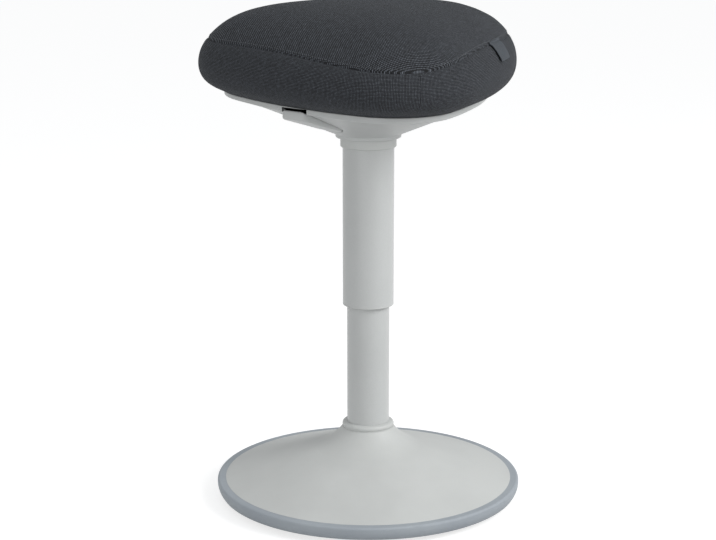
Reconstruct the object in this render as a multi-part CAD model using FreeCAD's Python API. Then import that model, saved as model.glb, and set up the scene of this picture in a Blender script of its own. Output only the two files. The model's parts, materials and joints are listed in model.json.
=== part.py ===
import FreeCAD, Part
import math
import os

# Wobble stool in millimetres. Origin on the floor, on the column's axis, +Z up.
# The nose of the rounded-triangle seat points along -Y; the lever is on the -X side.

# Gaps between pieces
fit_gap = 0.1                  # round pieces pressed or pushed together
running_gap = 0.05             # shafts that slide or turn
side_gap = 1.0                 # round the lever in its slot
soft_gap = 0.3                 # foam to the cover, board and nuts
cut_over = 1.0                 # cutting bodies reach this far past a face

# Screws
pilot_gap = 0.1                # hole round a screw that bites
passing_gap = 0.3              # hole round a screw that passes through
tip_gap = 0.2                  # hole beyond a screw's tip
head_gap = 0.2                 # round and over a sunk head
tapping_radius = 1.9           # screws of the base, ballast and pan
tapping_head_radius = 4.1
tapping_head_height = 1.6

# Base
edge_radius = 181.0            # outside of the soft edge ring
edge_ring_width = 9.8
edge_ring_top = 22.0
edge_ring_lift = 7.1           # ring's lowest point above the floor
edge_ring_round = 2.7          # shoulder between its top and its side
edge_ring_undercut = 3.5       # the side draws in this far towards the floor
edge_ring_bow = 1.2
edge_ring_step = 0.2           # the dome's edge stands this far over the ring
dome_slope = 0.341
dome_neck_height = 83.0
dome_neck_wall = 5.7           # from the lower tube to the neck's edge
dome_flare_radius = 63.5       # where the straight slope turns into the neck flare
dome_wall = 3.0
dome_hole_gap = 0.6            # round the lower tube
rocker_joint_height = 12.0     # level where the rocker shell meets the dome
rocker_wall = 3.0
rocker_proud = 1.0             # the pad stands this far below the rocker shell
rocker_flat = 58.0
rocker_edge_height = 8.0
pad_radius = 55.0
pad_thickness = 3.0
pad_groove_width = 2.0
pad_groove_depth = 0.8
pad_grooves = 4
ballast_radius = 122.0
ballast_thickness = 8.0
ballast_height = 8.0           # underside above the floor
rib_width = 3.0
rib_offset = 8.0               # inner rib outside the flat
base_screw_circle = 144.0
base_screw_count = 6
base_screw_start = 30.0
base_screw_length = 11.0
base_post_radius = 5.0
ballast_screw_circle = 88.0
ballast_screw_count = 4
ballast_screw_start = 45.0
blind_skin = 2.0               # plastic left under a blind screw hole

# Hub and lower tube
tube_radius = 25.0
tube_wall = 2.0
tube_showing = 143.5           # bare length between the neck collar and the cover tube
tube_hidden = 56.0             # length inside the cover tube
collar_bead_height = 6.0
collar_bead_lift = 1.2
collar_bead_bow = 1.5
collar_foot_inset = 1.0
collar_shoulder = 2.0
collar_bevel = 0.6
hub_flange_edge = 2.7          # outside the screw heads
hub_flange_thickness = 5.0
hub_sleeve_wall = 4.4
hub_bevel = 2.8
hub_height = 50.0
hub_screw_gap = 0.4            # between a screw head and the hub's bevel
hub_screw_count = 4
hub_screw_radius = 2.5
hub_head_radius = 4.3
hub_head_height = 3.0
tube_floor_lift = 18.0         # underside of the tube floor above the ballast plate
tube_floor_thickness = 4.0
bush_length = 75.0
bush_flange = 2.0
bush_flange_inset = 0.4

# Swivel bearing on the tube floor
race_thickness = 2.0
race_radius = 15.0
ball_radius = 2.0
ball_circle = 11.0
ball_count = 12
cage_thickness = 1.4
cage_reach = 3.2               # either side of the ball circle
bump_height = 11.5
bump_radius = 11.0

# Gas spring
rod_radius = 5.0
rod_hole_gap = 0.5             # round the rod in the tube floor and lower race
rod_end = 8.0                  # rod below the tube floor
washer_radius = 12.0
washer_thickness = 2.5
washer_gap = 0.3
clip_thickness = 1.2
clip_reach = 3.5               # outside the rod
clip_mouth = 5.0
clip_gap = 0.2
groove_depth = 0.9
cylinder_radius = 14.0
cylinder_wall = 2.0
cylinder_head = 19.0           # solid top that holds the release pin
end_cap_length = 14.0
end_cap_rim = 1.5
end_cap_inset = 0.3
piston_length = 12.0
piston_step = 1.5              # the rod's neck in the piston is this much thinner
piston_stub = 3.0              # neck above the piston
travel_down = 130.0
travel_up = 50.0
travel_spare = 0.6
taper_length = 36.0
taper_drop = 0.5               # loss of radius along the taper
release_pin_radius = 3.0
release_pin_length = 15.0
release_pin_showing = 4.0
release_travel = 2.5
release_spare = 1.0            # left under the pin when it is pressed
release_gap = 0.4              # between the pin and the lever arm

# Cover tube
cover_gap = 3.0                # round the lower tube
cover_wall = 2.0
cover_length = 187.9
lip_height = 2.0
lip_gap = 2.0                  # round the lower tube
lip_sleeve = 10.0
lip_bevel = 0.8
pan_collar_wall = 2.6
pan_collar_height = 11.2
pan_collar_bevel = 1.0

# Seat pan
pan_neck_edge = 5.6            # outside the collar
pan_neck_height = 4.2
pan_neck_round = 3.0
pan_slope = 0.41
pan_rise = 45.1                # from the neck to the rim's top
pan_wall = 3.0
pan_bore_gap = 1.0             # round the socket
pan_rim_nose = 7.0             # rim thickness at the nose
pan_rim_back = 3.6             # rim thickness at the back
pan_screw_angles = (80.0, 130.0, -150.0, -100.0)
pan_screw_circle = 110.0
pan_post_radius = 6.5
pan_screw_rise = 6.0           # screw seat above the pan's outside
pan_screw_bite = 8.4           # length in the board

# Seat outline: three round corners joined by slightly bulged sides
corner_radius = 107.9
corner_distance = 92.2
nose_distance = 87.3
lobe_angle = 115.0             # from the nose to each back corner
side_bulge_radius = 437.4
rim_inset = 32.4               # pan rim inside the seat's widest outline
board_inset = 36.4
board_thickness = 12.0
cover_thickness = 1.6
lip_width = 22.0               # fabric turned under the board

# Cushion levels above the pan's rim: height, inset from the widest outline, share, tilt.
# Up to the shoulder the outline is drawn inwards; over the crown it shrinks by its share.
cushion_levels = (
    (0.0, 30.9, 1.0, 0.0),
    (4.7, 20.3, 1.0, 0.0),
    (11.8, 8.3, 1.0, 0.0),
    (21.7, 1.6, 1.0, 0.0),
    (34.5, 0.0, 1.0, 0.6),
    (47.2, 2.5, 1.0, 2.4),
    (58.9, 9.3, 1.0, 3.8),
    (71.5, 20.6, 1.0, 4.0),
    (82.2, 26.5, 0.95, 4.0),
    (90.0, 28.4, 0.86, 3.6),
    (96.2, 28.4, 0.75, 3.0),
    (101.5, 27.5, 0.58, 2.2),
    (106.4, 23.5, 0.33, 1.2),
    (108.6, 19.6, 0.14, 0.4),
)

# Label sewn into the seam
label_angle = 57.5
label_width = 42.0
label_height = 25.0
label_rise = 56.0              # its middle above the pan's rim
label_lean = 36.0
label_thickness = 1.0
label_inset = 11.6             # its middle inside the flat's outline
label_reach = 40.0             # depth of the block that it is cut from

# Mounting plate, channel and lever, laid out along the lever's direction
lever_angle = 54.5             # from the nose towards -X
plate_length = 150.0
plate_width = 120.0
plate_thickness = 3.0
plate_bolt_length = 120.0
plate_bolt_width = 90.0
plate_bolt_radius = 3.0
bolt_head_height = 4.0
bolt_head_radius = 5.5
bolt_short = 1.0               # the bolt ends this far below the board's top
tee_barrel_wall = 1.2
tee_barrel_length = 9.0
tee_flange_radius = 9.0
tee_flange_thickness = 1.2
channel_width = 42.0
channel_wall = 3.0
channel_back = 30.0
channel_floor_front = 48.0
channel_ear_front = 70.0
channel_ear_lift = 1.0         # ears start this far above the channel's underside
channel_depth = 23.1
socket_radius = 19.5
socket_length = 28.0
socket_step = 3.0
socket_rivet = 1.5             # step's end above the channel's floor
lever_pivot = 61.0             # distance of the lever's pin from the column's axis
lever_pin_radius = 3.0
lever_pin_end = 2.0            # outside the channel
spacer_radius = 5.0
spacer_gap = 0.2
lever_hub_radius = 6.0
lever_pivot_drop = 13.1        # pin below the mounting plate
arm_width = 12.0
arm_nose_radius = 3.5
arm_nose_gap = 0.7             # under the mounting plate
arm_belly = 6.0                # straight underside past the cylinder
arm_heel = 4.0
arm_foot_start = 76.0
arm_foot_end = 106.0
arm_foot_thickness = 3.0
paddle_root = 58.8
paddle_half_width = 18.2
paddle_tip_proud = 1.0         # beyond the pan's rim
paddle_tip_drop = 13.8         # underside of the tip below the rim's top
paddle_thickness = 9.5
paddle_corner = 8.0
paddle_land = 12.0             # level top at the tip
pocket_skin = 1.2
lever_screw_radius = 1.6
lever_head_radius = 3.2
lever_head_height = 1.6
lever_screw_margin = 8.0       # from the ends of the arm's foot
lever_screw_skin = 3.0

# Levels worked out from the sizes above
ballast_top = ballast_height + ballast_thickness
tube_floor = ballast_top + tube_floor_lift
race_level = tube_floor + tube_floor_thickness
ball_level = race_level + race_thickness + ball_radius
upper_race_level = ball_level + ball_radius + running_gap
bump_level = upper_race_level + race_thickness
bump_top = bump_level + bump_height
washer_top = tube_floor - washer_gap
clip_top = washer_top - washer_thickness - clip_gap
clip_bottom = clip_top - clip_thickness
groove_radius = rod_radius - groove_depth
neck_radius = rod_radius - piston_step
dome_neck_radius = tube_radius + dome_neck_wall
hub_bore = tube_radius + fit_gap
hub_sleeve = hub_bore + hub_sleeve_wall
hub_screw_circle = hub_sleeve + hub_bevel + hub_screw_gap + hub_head_radius
hub_flange_radius = hub_screw_circle + hub_head_radius + hub_flange_edge
cover_radius = tube_radius + cover_gap + cover_wall
lip_bore = tube_radius + lip_gap
pan_collar_radius = cover_radius + pan_collar_wall
pan_neck_radius = pan_collar_radius + pan_neck_edge
bead_top = dome_neck_height + collar_bead_lift + collar_bead_height
cover_lip = bead_top + tube_showing
tube_top = cover_lip + tube_hidden
cover_top = cover_lip + cover_length
pan_bottom = cover_top + pan_collar_height
pan_neck = pan_bottom + pan_neck_height
rim_top = pan_neck + pan_rise
board_bottom = rim_top + cover_thickness
board_top = board_bottom + board_thickness
plate_bottom = board_bottom - plate_thickness
channel_bottom = plate_bottom - channel_depth
pivot_level = plate_bottom - lever_pivot_drop
arm_nose_level = plate_bottom - arm_nose_radius - arm_nose_gap
pin_top = arm_nose_level - arm_nose_radius - release_gap
cylinder_top = pin_top - release_pin_showing
cylinder_bottom = bump_top + travel_down + travel_spare
piston_level = cylinder_bottom + travel_up + end_cap_length + travel_spare
channel_floor = channel_bottom + channel_wall
tube_inside = tube_radius - tube_wall
cylinder_inside = cylinder_radius - cylinder_wall
dome_edge_radius = edge_radius - edge_ring_width
dome_edge_height = edge_ring_top + edge_ring_step
pan_bore = socket_radius + pan_bore_gap
tee_barrel_radius = plate_bolt_radius + tee_barrel_wall
lever_screw_places = (arm_foot_start + lever_screw_margin, arm_foot_end - lever_screw_margin)


def point(radius, height):
    return FreeCAD.Vector(radius, 0, height)


def line(start, end):
    return Part.LineSegment(point(*start), point(*end)).toShape()


def arc(start, through, end):
    return Part.Arc(point(*start), point(*through), point(*end)).toShape()


def bowed(start, end, bow):
    """Arc whose middle stands off its chord by bow, on the left of start to end."""
    across = end[0] - start[0]
    up = end[1] - start[1]
    share = bow / math.hypot(across, up)
    middle = ((start[0] + end[0]) / 2 - up * share, (start[1] + end[1]) / 2 + across * share)
    return arc(start, middle, end)


def spin(edges):
    """Solid of revolution about the column's axis from a closed outline."""
    face = Part.Face(Part.Wire(edges))
    return face.revolve(FreeCAD.Vector(0, 0, 0), FreeCAD.Vector(0, 0, 1), 360)


def turned(*corners):
    """Solid of revolution with straight sides through (radius, height) corners."""
    closed = list(corners) + [corners[0]]
    return spin([line(a, b) for a, b in zip(closed, closed[1:])])


def rod(radius, low, high, x=0.0, y=0.0):
    return Part.makeCylinder(radius, high - low, FreeCAD.Vector(x, y, low))


def tube(inside, outside, low, high):
    return rod(outside, low, high).cut(rod(inside, low, high))


def block(x_low, x_high, y_low, y_high, z_low, z_high):
    corner = FreeCAD.Vector(x_low, y_low, z_low)
    return Part.makeBox(x_high - x_low, y_high - y_low, z_high - z_low, corner)


def screw(radius, head_radius, head_height, seat, tip, place):
    """Screw whose head rests on the seat level and whose shank runs to the tip level."""
    side = 1.0 if seat > tip else -1.0
    top = seat + side * head_height
    middle = (seat + top) / 2
    head = rod(head_radius, min(seat, top), max(seat, top), *place)
    shank = rod(radius, min(middle, tip), max(middle, tip), *place)
    return head.fuse(shank).removeSplitter()


def tapping_screw(seat, tip, place):
    return screw(tapping_radius, tapping_head_radius, tapping_head_height, seat, tip, place)


def cross_rod(radius, x, z, half_width):
    """Rod along Y, centred on the lever's middle plane."""
    start = FreeCAD.Vector(x, -half_width, z)
    return Part.makeCylinder(radius, 2 * half_width, start, FreeCAD.Vector(0, 1, 0))


def slab(outline, half_width):
    """Outline of (x, z) corners given its width along Y."""
    corners = [FreeCAD.Vector(x, -half_width, z) for x, z in outline]
    face = Part.Face(Part.makePolygon(corners + [corners[0]]))
    return face.extrude(FreeCAD.Vector(0, 2 * half_width, 0))


def around(circle, count, start=0.0):
    """Places spaced evenly round the column's axis."""
    angles = [math.radians(start + 360.0 * index / count) for index in range(count)]
    return [(circle * math.cos(a), circle * math.sin(a)) for a in angles]


def joined(shapes):
    first = shapes[0]
    return first.multiFuse(shapes[1:]).removeSplitter()


def base_screw_places():
    return around(base_screw_circle, base_screw_count, base_screw_start)


def ballast_screw_places():
    return around(ballast_screw_circle, ballast_screw_count, ballast_screw_start)


def pan_screw_places():
    return [from_nose(angle, pan_screw_circle) for angle in pan_screw_angles]


def group(shapes):
    return Part.makeCompound(shapes)


def from_nose(angle, distance):
    """Place at an angle from the nose, counted towards +X."""
    turn = math.radians(angle)
    return (distance * math.sin(turn), -distance * math.cos(turn))


def to_lever(shape):
    """Turns a piece laid out along +X to the lever's direction."""
    turned_shape = shape.copy()
    turned_shape.rotate(FreeCAD.Vector(0, 0, 0), FreeCAD.Vector(0, 0, 1), 270.0 - lever_angle)
    return turned_shape


def seat_outline(inset, height, tilt=0.0, scale=1.0):
    """Closed wire: rounded triangle, drawn inwards by inset, then scaled about the axis."""
    centres = [
        FreeCAD.Vector(*from_nose(0.0, nose_distance), 0),
        FreeCAD.Vector(*from_nose(lobe_angle, corner_distance), 0),
        FreeCAD.Vector(*from_nose(-lobe_angle, corner_distance), 0),
    ]
    corner = corner_radius - inset
    reach = side_bulge_radius - corner_radius
    sides = []
    for index in range(3):
        first = centres[index]
        second = centres[(index + 1) % 3]
        middle = (first + second) * 0.5
        half = (second - first).Length / 2
        outwards = (second - first).cross(FreeCAD.Vector(0, 0, 1)).normalize()
        pivot = middle - outwards * math.sqrt(reach ** 2 - half ** 2)
        bulge = side_bulge_radius - inset
        start = first + (first - pivot).normalize() * corner
        end = second + (second - pivot).normalize() * corner
        sides.append((start, pivot + outwards * bulge, end))
    edges = []
    for index in range(3):
        start, through, end = sides[index]
        edges.append(Part.Arc(start, through, end).toShape())
        centre = centres[(index + 1) % 3]
        next_start = sides[(index + 1) % 3][0]
        tip = centre + (centre * (1.0 / centre.Length)) * corner
        edges.append(Part.Arc(end, tip, next_start).toShape())
    wire = Part.Wire(edges)
    wire.scale(scale, FreeCAD.Vector(0, 0, 0))
    wire.translate(FreeCAD.Vector(0, 0, height))
    wire.rotate(FreeCAD.Vector(0, 0, height), FreeCAD.Vector(1, 0, 0), tilt)
    return wire


def outline_prism(inset, low, high):
    face = Part.Face(seat_outline(inset, low))
    return face.extrude(FreeCAD.Vector(0, 0, high - low))


def cushion(skin):
    """Crowned cushion with straight sides between its levels, drawn in by skin."""
    wires = []
    for rise, inset, share, tilt in cushion_levels:
        height = rim_top + rise - skin * (1.0 - share)
        wires.append(seat_outline(inset + skin, height, tilt, share))
    return Part.makeLoft(wires, True, True)


def flare_arc():
    """Centre and radius of the neck flare, tangent to the dome's straight slope."""
    tangent = (dome_flare_radius, dome_height(dome_flare_radius))
    step = (tangent[0] - dome_neck_radius, tangent[1] - dome_neck_height)
    length = math.hypot(dome_slope, 1.0)
    normal = (dome_slope / length, 1.0 / length)
    along = step[0] * normal[0] + step[1] * normal[1]
    radius = -(step[0] ** 2 + step[1] ** 2) / (2 * along)
    return (tangent[0] + radius * normal[0], tangent[1] + radius * normal[1]), radius, normal


def dome_height(radius):
    """Height of the dome's straight slope at a radius."""
    return dome_edge_height + (dome_edge_radius - radius) * dome_slope


def dome_solid(wall, floor):
    """Everything below the dome's surface, drawn in by wall."""
    centre, radius, normal = flare_arc()
    reach = radius + wall
    neck_turn = math.atan2(dome_neck_height - centre[1], dome_neck_radius - centre[0])
    slope_turn = math.atan2(-normal[1], -normal[0])
    if neck_turn > 0:
        neck_turn -= 2 * math.pi
    middle_turn = (neck_turn + slope_turn) / 2
    places = []
    for turn in (neck_turn, middle_turn, slope_turn):
        places.append((centre[0] + reach * math.cos(turn), centre[1] + reach * math.sin(turn)))
    neck, middle, foot = places
    edge_radius_inside = dome_edge_radius - wall
    edge = (edge_radius_inside, dome_height(edge_radius_inside) - wall * math.hypot(1, dome_slope))
    top = neck[1] if wall else dome_neck_height
    outline = [
        line((0, floor), (0, top)),
        line((0, top), neck),
        arc(neck, middle, foot),
        line(foot, edge),
        line(edge, (edge[0], floor)),
        line((edge[0], floor), (0, floor)),
    ]
    return spin(outline)


def rocker_height(radius):
    """Height of the rocker's underside: an arc that leaves the flat smoothly."""
    curve = ((dome_edge_radius - rocker_flat) ** 2) / (2 * (rocker_edge_height - rocker_proud))
    return rocker_proud + max(0.0, radius - rocker_flat) ** 2 / (2 * curve)


def rocker_solid(lift, radius, top):
    middle = (rocker_flat + radius) / 2
    foot = (rocker_flat, rocker_proud + lift)
    edge = (radius, rocker_height(radius) + lift)
    outline = [
        line((0, rocker_proud + lift), foot),
        arc(foot, (middle, rocker_height(middle) + lift), edge),
        line(edge, (radius, top)),
        line((radius, top), (0, top)),
        line((0, top), (0, rocker_proud + lift)),
    ]
    return spin(outline)


def base_screw_seat():
    return rocker_height(base_screw_circle) + head_gap + tapping_head_height


def base_dome():
    inside = dome_solid(dome_wall, rocker_joint_height - cut_over)
    shell = dome_solid(0.0, rocker_joint_height).cut(inside)
    floor = rocker_height(base_screw_circle + base_post_radius) + rocker_wall + fit_gap
    roof = dome_height(base_screw_circle) - dome_wall / 2
    posts = [rod(base_post_radius, floor, roof, x, y) for x, y in base_screw_places()]
    shell = joined([shell] + posts)
    shell = shell.cut(rod(tube_radius + dome_hole_gap, rocker_joint_height, dome_neck_height + cut_over))
    tip = base_screw_seat() + base_screw_length + tip_gap
    for x, y in base_screw_places():
        shell = shell.cut(rod(tapping_radius + pilot_gap, 0, tip, x, y))
    return shell


def edge_ring():
    inside = dome_edge_radius
    shoulder = (edge_radius - edge_ring_round, edge_ring_top)
    flank = (edge_radius, edge_ring_top - edge_ring_round)
    heel = (edge_radius - edge_ring_undercut, edge_ring_lift)
    bend = edge_ring_round * (1 - math.sqrt(0.5))
    outline = [
        line((inside, rocker_edge_height), (inside, edge_ring_top)),
        line((inside, edge_ring_top), shoulder),
        arc(shoulder, (edge_radius - bend, edge_ring_top - bend), flank),
        bowed(flank, heel, edge_ring_bow),
        line(heel, (inside, rocker_edge_height)),
    ]
    return spin(outline)


def rocker_shell():
    outside = rocker_solid(0.0, dome_edge_radius, rocker_joint_height)
    inside = rocker_solid(rocker_wall, dome_edge_radius - rocker_wall, rocker_joint_height + cut_over)
    shell = outside.cut(inside)
    recess_floor = pad_thickness + rocker_wall
    pieces = [shell, rod(rocker_flat, rocker_proud, recess_floor)]
    for radius in (rocker_flat + rib_offset, ballast_radius - 2 * rib_width):
        low = rocker_height(radius) + rocker_wall / 2
        pieces.append(tube(radius, radius + rib_width, low, ballast_height))
    low = rocker_height(ballast_screw_circle) + rocker_wall / 2
    for x, y in ballast_screw_places():
        pieces.append(rod(base_post_radius, low, ballast_height, x, y))
    shell = joined(pieces)
    shell = shell.cut(rod(pad_radius + fit_gap, 0, pad_thickness))
    floor = rocker_height(ballast_screw_circle) + blind_skin
    for x, y in ballast_screw_places():
        shell = shell.cut(rod(tapping_radius + pilot_gap, floor, ballast_height, x, y))
    for x, y in base_screw_places():
        shell = shell.cut(rod(tapping_radius + passing_gap, 0, rocker_joint_height, x, y))
        shell = shell.cut(rod(tapping_head_radius + head_gap, 0, base_screw_seat(), x, y))
    return shell


def standing_pad():
    pad = rod(pad_radius, 0, pad_thickness)
    step = pad_radius / (pad_grooves + 1)
    for index in range(pad_grooves):
        radius = step * (index + 1)
        pad = pad.cut(tube(radius, radius + pad_groove_width, 0, pad_groove_depth))
    return pad


def base_screws():
    seat = base_screw_seat()
    return group([tapping_screw(seat, seat + base_screw_length, place) for place in base_screw_places()])


def ballast_plate():
    plate = rod(ballast_radius, ballast_height, ballast_top)
    for x, y in ballast_screw_places():
        plate = plate.cut(rod(tapping_radius + passing_gap, ballast_height, ballast_top, x, y))
    for x, y in around(hub_screw_circle, hub_screw_count):
        plate = plate.cut(rod(hub_screw_radius + pilot_gap, ballast_height, ballast_top, x, y))
    return plate


def ballast_screws():
    tip = rocker_height(ballast_screw_circle) + blind_skin + tip_gap
    return group([tapping_screw(ballast_top, tip, place) for place in ballast_screw_places()])


def hub_socket():
    flange_top = ballast_top + hub_flange_thickness
    hub = turned(
        (hub_bore, ballast_top),
        (hub_flange_radius, ballast_top),
        (hub_flange_radius, flange_top),
        (hub_sleeve + hub_bevel, flange_top),
        (hub_sleeve, flange_top + hub_bevel),
        (hub_sleeve, ballast_top + hub_height),
        (hub_bore, ballast_top + hub_height),
    )
    for x, y in around(hub_screw_circle, hub_screw_count):
        hub = hub.cut(rod(hub_screw_radius + passing_gap, ballast_top, flange_top, x, y))
    return hub


def hub_screws():
    seat = ballast_top + hub_flange_thickness
    tip = ballast_height + tip_gap
    screws = []
    for place in around(hub_screw_circle, hub_screw_count):
        screws.append(screw(hub_screw_radius, hub_head_radius, hub_head_height, seat, tip, place))
    return group(screws)


def neck_collar():
    low = dome_neck_height
    inside = tube_radius + fit_gap
    foot = dome_neck_radius - collar_foot_inset
    bead = (foot, low + collar_bead_lift)
    shoulder = (dome_neck_radius - collar_shoulder, bead_top - collar_bevel)
    outline = [
        line((inside, low), (foot, low)),
        line((foot, low), bead),
        bowed(shoulder, bead, collar_bead_bow),
        line(shoulder, (inside + collar_bevel, bead_top)),
        line((inside + collar_bevel, bead_top), (inside, bead_top)),
        line((inside, bead_top), (inside, low)),
    ]
    return spin(outline)


def guide_bush():
    bore = cylinder_radius + running_gap
    body = tube(bore, tube_inside - fit_gap, tube_top - bush_length, tube_top)
    flange = tube(bore, tube_radius - bush_flange_inset, tube_top, tube_top + bush_flange)
    return joined([body, flange])


def bearing_balls():
    places = around(ball_circle, ball_count)
    return group([Part.makeSphere(ball_radius, FreeCAD.Vector(x, y, ball_level)) for x, y in places])


def bearing_cage():
    half = cage_thickness / 2
    cage = tube(ball_circle - cage_reach, ball_circle + cage_reach, ball_level - half, ball_level + half)
    for x, y in around(ball_circle, ball_count):
        cage = cage.cut(Part.makeSphere(ball_radius + fit_gap, FreeCAD.Vector(x, y, ball_level)))
    return cage


def rod_clip():
    outside = rod_radius + clip_reach
    ring = tube(groove_radius + fit_gap, outside, clip_bottom, clip_top)
    half = clip_mouth / 2
    return ring.cut(block(0, outside + cut_over, -half, half, clip_bottom, clip_top))


def piston_rod():
    shaft = rod(rod_radius, tube_floor - rod_end, piston_level)
    neck = rod(neck_radius, piston_level, piston_level + piston_length + piston_stub)
    groove = tube(groove_radius, rod_radius + cut_over, clip_bottom - fit_gap, clip_top + fit_gap)
    return joined([shaft, neck]).cut(groove)


def gas_cylinder():
    top = cylinder_radius - taper_drop
    body = turned(
        (0, cylinder_bottom + end_cap_rim),
        (cylinder_radius, cylinder_bottom + end_cap_rim),
        (cylinder_radius, cylinder_top - taper_length),
        (top, cylinder_top),
        (0, cylinder_top),
    )
    hollow = rod(cylinder_inside, cylinder_bottom, cylinder_top - cylinder_head)
    low = pin_top - release_pin_length - release_travel - release_spare
    return body.cut(hollow).cut(rod(release_pin_radius + running_gap, low, cylinder_top))


def end_cap():
    bore = rod_radius + running_gap
    sleeve = tube(bore, cylinder_inside - running_gap, cylinder_bottom, cylinder_bottom + end_cap_length)
    rim = tube(bore, cylinder_radius - end_cap_inset, cylinder_bottom, cylinder_bottom + end_cap_rim)
    return joined([sleeve, rim])


def lip_ring():
    flange = turned(
        (lip_bore, cover_lip),
        (cover_radius - lip_bevel, cover_lip),
        (cover_radius, cover_lip + lip_bevel),
        (cover_radius, cover_lip + lip_height),
        (lip_bore, cover_lip + lip_height),
    )
    sleeve_outside = cover_radius - cover_wall - fit_gap
    sleeve = tube(lip_bore, sleeve_outside, cover_lip, cover_lip + lip_height + lip_sleeve)
    return joined([flange, sleeve])


def pan_collar():
    low = cover_top
    return turned(
        (cover_radius + fit_gap, low),
        (pan_collar_radius - pan_collar_bevel, low),
        (pan_collar_radius, low + pan_collar_bevel),
        (pan_collar_radius, pan_bottom),
        (cover_radius + fit_gap, pan_bottom),
    )


def pan_cone(wall, top):
    """Funnel under the seat up to a level, drawn in by wall."""
    drop = wall * math.hypot(1, pan_slope)
    low = pan_neck + drop
    reach = pan_neck_radius + (top - low) / pan_slope
    return turned(
        (0, low),
        (pan_neck_radius, low),
        (reach, top),
        (0, top),
    )


def lever_outline(gap, low, high):
    """Plan of the paddle, tongue-shaped, grown by gap."""
    half = paddle_half_width + gap
    centre = paddle_root + paddle_half_width
    tip = paddle_tip + gap
    round_corner = paddle_corner + gap
    bend = round_corner * math.sqrt(0.5)
    p1 = FreeCAD.Vector(centre, half, low)
    p2 = FreeCAD.Vector(centre - half, 0, low)
    p3 = FreeCAD.Vector(centre, -half, low)
    p4 = FreeCAD.Vector(tip - round_corner, -half, low)
    p5 = FreeCAD.Vector(tip - round_corner + bend, -half + round_corner - bend, low)
    p6 = FreeCAD.Vector(tip, -half + round_corner, low)
    p7 = FreeCAD.Vector(tip, half - round_corner, low)
    p8 = FreeCAD.Vector(tip - round_corner + bend, half - round_corner + bend, low)
    p9 = FreeCAD.Vector(tip - round_corner, half, low)
    edges = [
        Part.Arc(p1, p2, p3).toShape(),
        Part.LineSegment(p3, p4).toShape(),
        Part.Arc(p4, p5, p6).toShape(),
        Part.LineSegment(p6, p7).toShape(),
        Part.Arc(p7, p8, p9).toShape(),
        Part.LineSegment(p9, p1).toShape(),
    ]
    return Part.Face(Part.Wire(edges)).extrude(FreeCAD.Vector(0, 0, high - low))


def paddle_under(distance):
    """Height of the paddle's underside: flush with the pan at its root, proud at its tip."""
    return paddle_root_level + (distance - paddle_root) * paddle_slope


def seat_pan():
    neck = rod(pan_neck_radius, pan_bottom, pan_neck)
    foot = [edge for edge in neck.Edges if edge.BoundBox.ZMax - pan_bottom < 1e-6]
    neck = neck.makeFillet(pan_neck_round, foot)
    funnel = pan_cone(0.0, rim_top).common(outline_prism(rim_inset, pan_bottom, rim_top))
    rim = outline_prism(rim_inset, rim_top - pan_rim_nose - cut_over, rim_top)
    back = corner_distance + corner_radius
    front = nose_distance + corner_radius - rim_inset
    under = slab(
        [
            (-front, rim_top - pan_rim_nose),
            (-back, rim_top - pan_rim_nose),
            (-back, pan_bottom),
            (back, pan_bottom),
            (back, rim_top - pan_rim_back),
        ],
        back,
    )
    under.rotate(FreeCAD.Vector(0, 0, 0), FreeCAD.Vector(0, 0, 1), 90)
    rim = rim.cut(under)
    inside = outline_prism(rim_inset + pan_wall, pan_bottom, rim_top + cut_over)
    hollow = pan_cone(pan_wall, rim_top + cut_over).common(inside)
    pan = joined([neck, funnel, rim]).cut(hollow)
    low = pan_screw_seat - pan_screw_rise + pan_wall / 2
    posts = [rod(pan_post_radius, low, rim_top, x, y) for x, y in pan_screw_places()]
    pan = joined([pan] + posts)
    pan = pan.cut(rod(pan_bore, pan_bottom, rim_top))
    slot = lever_outline(side_gap, pan_bottom, rim_top - pocket_skin)
    pan = pan.cut(to_lever(slot))
    for x, y in pan_screw_places():
        pan = pan.cut(rod(tapping_radius + passing_gap, pan_bottom, rim_top, x, y))
        pan = pan.cut(rod(tapping_head_radius + head_gap, pan_bottom, pan_screw_seat, x, y))
    return pan


def pan_screws():
    tip = board_bottom + pan_screw_bite
    return group([tapping_screw(pan_screw_seat, tip, place) for place in pan_screw_places()])


def plate_bolt_places():
    half_length = plate_bolt_length / 2
    half_width = plate_bolt_width / 2
    return [(x, y) for x in (-half_length, half_length) for y in (-half_width, half_width)]


def mount_plate():
    plate = block(
        -plate_length / 2, plate_length / 2, -plate_width / 2, plate_width / 2, plate_bottom, board_bottom
    )
    for x, y in plate_bolt_places():
        plate = plate.cut(rod(plate_bolt_radius + passing_gap, plate_bottom, board_bottom, x, y))
    return to_lever(plate)


def channel():
    half = channel_width / 2
    ear_bottom = channel_bottom + channel_ear_lift
    pieces = [block(-channel_back, channel_floor_front, -half, half, channel_bottom, channel_floor)]
    for low in (-half, half - channel_wall):
        high = low + channel_wall
        pieces.append(block(-channel_back, channel_ear_front, low, high, ear_bottom, plate_bottom))
    body = joined(pieces)
    body = body.cut(rod(socket_radius - socket_step, channel_bottom, channel_floor))
    body = body.cut(cross_rod(lever_pin_radius + running_gap, lever_pivot, pivot_level, half))
    return to_lever(body)


def taper_radius(level):
    """Outer radius of the cylinder's taper at a level."""
    return cylinder_radius - taper_drop * (level - (cylinder_top - taper_length)) / taper_length


def taper_socket():
    low = channel_floor - socket_length
    top = channel_floor + socket_rivet
    step = socket_radius - socket_step - fit_gap
    return turned(
        (taper_radius(low) + running_gap, low),
        (socket_radius, low),
        (socket_radius, channel_bottom),
        (step, channel_bottom),
        (step, top),
        (taper_radius(top) + running_gap, top),
    )


def plate_bolts():
    tip = board_top - bolt_short
    bolts = []
    for x, y in plate_bolt_places():
        bolts.append(screw(plate_bolt_radius, bolt_head_radius, bolt_head_height, plate_bottom, tip, (x, y)))
    return to_lever(group(bolts))


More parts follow.
